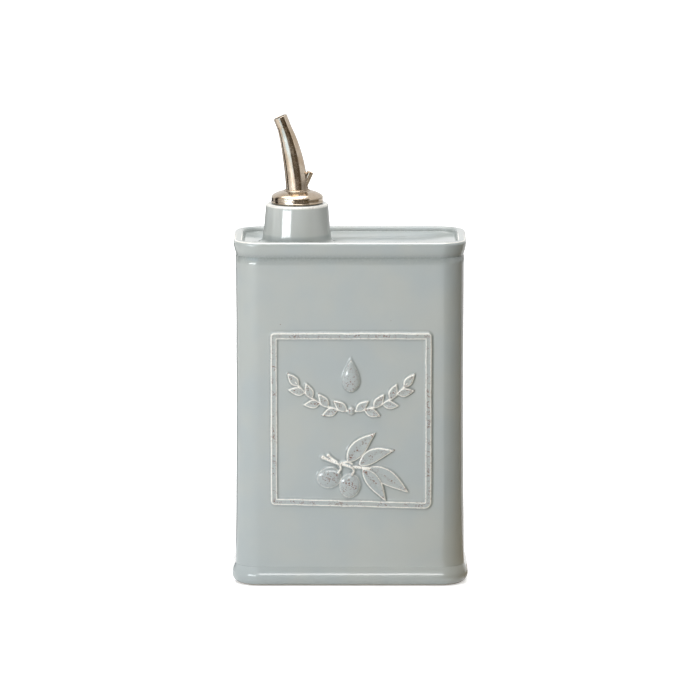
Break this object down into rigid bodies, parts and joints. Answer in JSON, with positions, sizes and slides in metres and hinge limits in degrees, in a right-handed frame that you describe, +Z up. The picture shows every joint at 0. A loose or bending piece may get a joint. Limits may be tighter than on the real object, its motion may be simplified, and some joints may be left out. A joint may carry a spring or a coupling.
{
  "type": "olive oil can",
  "caption": "Rectangular glazed ceramic oil can with a tray top, a raised plaque, an off-centre neck and a push-in metal pourer with a bent spout and an air pipe.",
  "frame": {"origin": "on the surface the can stands on, under the middle of its foot", "axes": "+Z up, +X to the right as the plaque is read, +Y from the plaque towards the back"},
  "size_m": [0.1156, 0.0608, 0.2289],
  "materials": {
    "glaze": "gloss",
    "stopper_plastic": "matte",
    "pourer_steel": "polished",
    "inner_steel": "satin"
  },
  "bodies": {
    "can": {"can_body": "glaze"},
    "stopper": {"stopper": "stopper_plastic"},
    "spout": {"collar": "pourer_steel", "spout_tube": "pourer_steel", "shank_tube": "inner_steel", "breather_tube": "pourer_steel", "retaining_washer": "inner_steel"}
  },
  "joints": [
    {"name": "pourer_lift", "type": "slide", "parent": "can", "child": "stopper", "axis": [0, 0, 1], "range_m": [0, 0.05]},
    {"name": "spout_turn", "type": "hinge", "parent": "stopper", "child": "spout", "pos_m": [-0.0258, 0, 0.1866], "axis": [0, 0, 1], "continuous": true}
  ]
}
